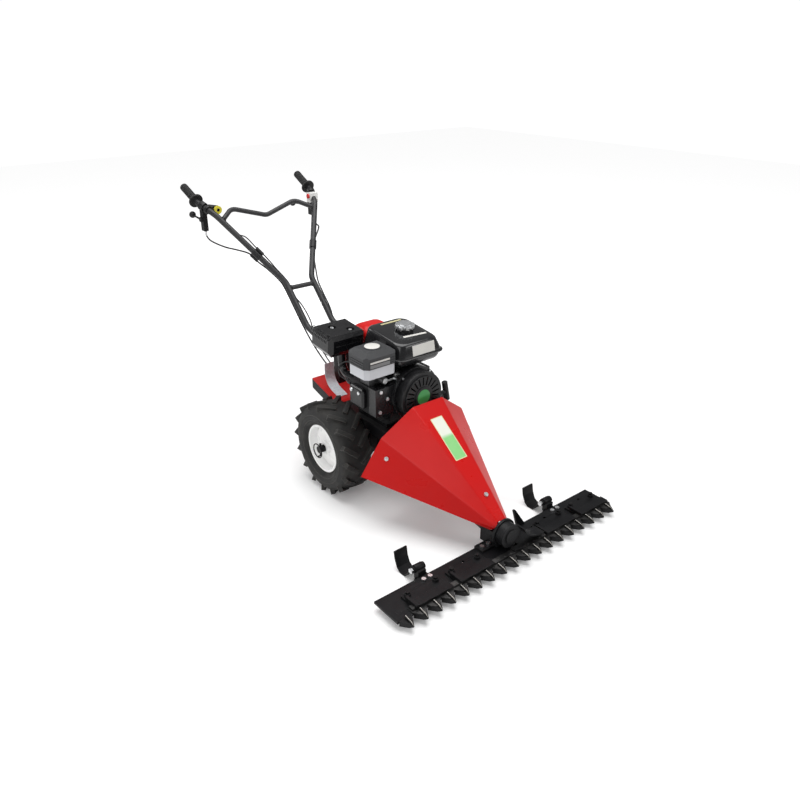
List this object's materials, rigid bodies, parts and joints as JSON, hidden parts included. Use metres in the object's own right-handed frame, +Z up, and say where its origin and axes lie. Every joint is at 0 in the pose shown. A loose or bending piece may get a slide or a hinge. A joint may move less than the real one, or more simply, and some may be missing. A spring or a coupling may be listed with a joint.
{
  "type": "sickle bar mower",
  "caption": "Walk-behind sickle bar mower: finger cutter bar with sliding knife, folded hood, lugged wheels, small engine and braced handlebar.",
  "frame": {"origin": "on the ground, centred between the bar ends and midway between the finger tips and the grip ends", "axes": "+Z up; the cutter bar leads towards -Y; +X is the operator's left"},
  "size_m": [0.92, 1.6178, 0.9533],
  "materials": {
    "black_paint": "black powder coat",
    "forged_black": "black painted forging",
    "knife_steel": "dark ground steel",
    "zinc": "bright zinc plating",
    "red_paint": "satin red paint",
    "dark_casting": "dark painted casting",
    "white_paint": "gloss white paint",
    "tyre": "black rubber tread",
    "engine_black": "semi-gloss black paint",
    "alloy": "raw alloy",
    "black_plastic": "grained black plastic",
    "silver_plastic": "silver-grey plastic",
    "rubber": "matt black rubber",
    "white_plastic": "white plastic",
    "red_plastic": "red plastic",
    "yellow_plastic": "yellow plastic",
    "cable_black": "black cable sheath",
    "wire_white": "pale wire sheath"
  },
  "bodies": {
    "chassis": {"bar_plate": "black_paint", "fingers": "forged_black", "bar_bolts": "black_paint", "hold_downs": "black_paint", "skid_brackets": "black_paint", "zinc_bolts": "zinc", "front_housing": "dark_casting", "saddle_guard": "black_paint", "deflector_finger": "black_paint", "drive_tube": "black_paint", "hood": "red_paint", "hood_bolts": "zinc", "frame": "black_paint", "bed_plate": "red_paint", "gearbox": "dark_casting", "crankcase": "engine_black", "engine_cylinder": "dark_casting", "head_cover": "engine_black", "fan_shroud": "engine_black", "recoil_cover": "black_plastic", "fuel_tank": "engine_black", "air_cleaner_lid": "black_plastic", "air_cleaner_base": "silver_plastic", "carburettor": "alloy", "muffler": "engine_black", "engine_bolts": "zinc", "heat_shield": "zinc", "belt_guard": "red_paint", "handle_bracket": "black_paint", "handle_right": "black_paint", "handle_left": "black_paint", "handle_braces": "black_paint", "grips": "rubber", "lever_perches": "black_plastic", "button_body": "black_plastic", "switch_body": "white_plastic", "cable_bands": "black_plastic", "right_cables": "cable_black", "left_cable": "cable_black", "stop_wire": "wire_white", "spark_lead": "cable_black"},
    "wheelset": {"axle": "knife_steel", "rim_right": "white_paint", "rim_left": "white_paint", "tyre_right": "tyre", "tyre_left": "tyre", "lynch_pins": "zinc"},
    "knife": {"knife_back": "knife_steel", "knife_sections": "knife_steel", "knife_head": "forged_black"},
    "skid_right": {"skid_right": "black_paint"},
    "skid_left": {"skid_left": "black_paint"},
    "rocker": {"rocker": "knife_steel"},
    "recoil_handle": {"recoil_handle": "black_plastic"},
    "fuel_cap": {"fuel_cap": "zinc"},
    "choke_lever": {"choke_lever": "zinc"},
    "lever_right": {"lever_right": "black_plastic"},
    "lever_left": {"lever_left": "black_plastic"},
    "safety_button": {"safety_button": "yellow_plastic"},
    "stop_button": {"stop_button": "red_plastic"}
  },
  "joints": [
    {"name": "wheel_spin", "type": "hinge", "parent": "chassis", "child": "wheelset", "pos_m": [0, -0.05691, 0.165], "axis": [1, 0, 0], "continuous": true},
    {"name": "rocker_swing", "type": "hinge", "parent": "chassis", "child": "rocker", "pos_m": [0, -0.67791, 0.06], "axis": [0, 0, 1], "range_deg": [-50.09, 0]},
    {"name": "knife_stroke", "type": "slide", "parent": "chassis", "child": "knife", "axis": [1, 0, 0], "range_m": [-0.0508, 0]},
    {"name": "skid_right_tilt", "type": "hinge", "parent": "chassis", "child": "skid_right", "pos_m": [-0.28, -0.64291, 0.044], "axis": [1, 0, 0], "range_deg": [-8, 20]},
    {"name": "skid_left_tilt", "type": "hinge", "parent": "chassis", "child": "skid_left", "pos_m": [0.28, -0.64291, 0.044], "axis": [1, 0, 0], "range_deg": [-8, 20]},
    {"name": "recoil_pull", "type": "slide", "parent": "chassis", "child": "recoil_handle", "axis": [0.9781, 0, 0.2079], "range_m": [0, 0.13], "stiffness_N_per_m": 40, "springref_m": -0.05},
    {"name": "fuel_cap_turn", "type": "hinge", "parent": "chassis", "child": "fuel_cap", "pos_m": [0.038, -0.18491, 0.594], "axis": [0, 0, 1], "range_deg": [0, 90]},
    {"name": "choke_turn", "type": "hinge", "parent": "chassis", "child": "choke_lever", "pos_m": [-0.106, -0.26341, 0.462], "axis": [0, -1, 0], "range_deg": [0, 25]},
    {"name": "lever_right_pull", "type": "hinge", "parent": "chassis", "child": "lever_right", "pos_m": [-0.251, 0.67701, 0.836], "axis": [1, 0, 0], "range_deg": [-45, 0], "stiffness_Nm_per_rad": 1, "springref_deg": 11.46},
    {"name": "lever_left_pull", "type": "hinge", "parent": "chassis", "child": "lever_left", "pos_m": [0.224, 0.67701, 0.836], "axis": [1, 0, 0], "range_deg": [-45, 0], "stiffness_Nm_per_rad": 1, "springref_deg": 11.46},
    {"name": "safety_button_push", "type": "slide", "parent": "chassis", "child": "safety_button", "axis": [0, 1, 0], "range_m": [0, 0.005], "stiffness_N_per_m": 800, "springref_m": -0.002},
    {"name": "stop_button_push", "type": "slide", "parent": "chassis", "child": "stop_button", "axis": [1, 0, 0], "range_m": [0, 0.003], "stiffness_N_per_m": 800, "springref_m": -0.002}
  ],
  "couplings": [
    {"joint": "rocker_swing", "follows": "knife_stroke", "rad_per_m": 17.206}
  ]
}
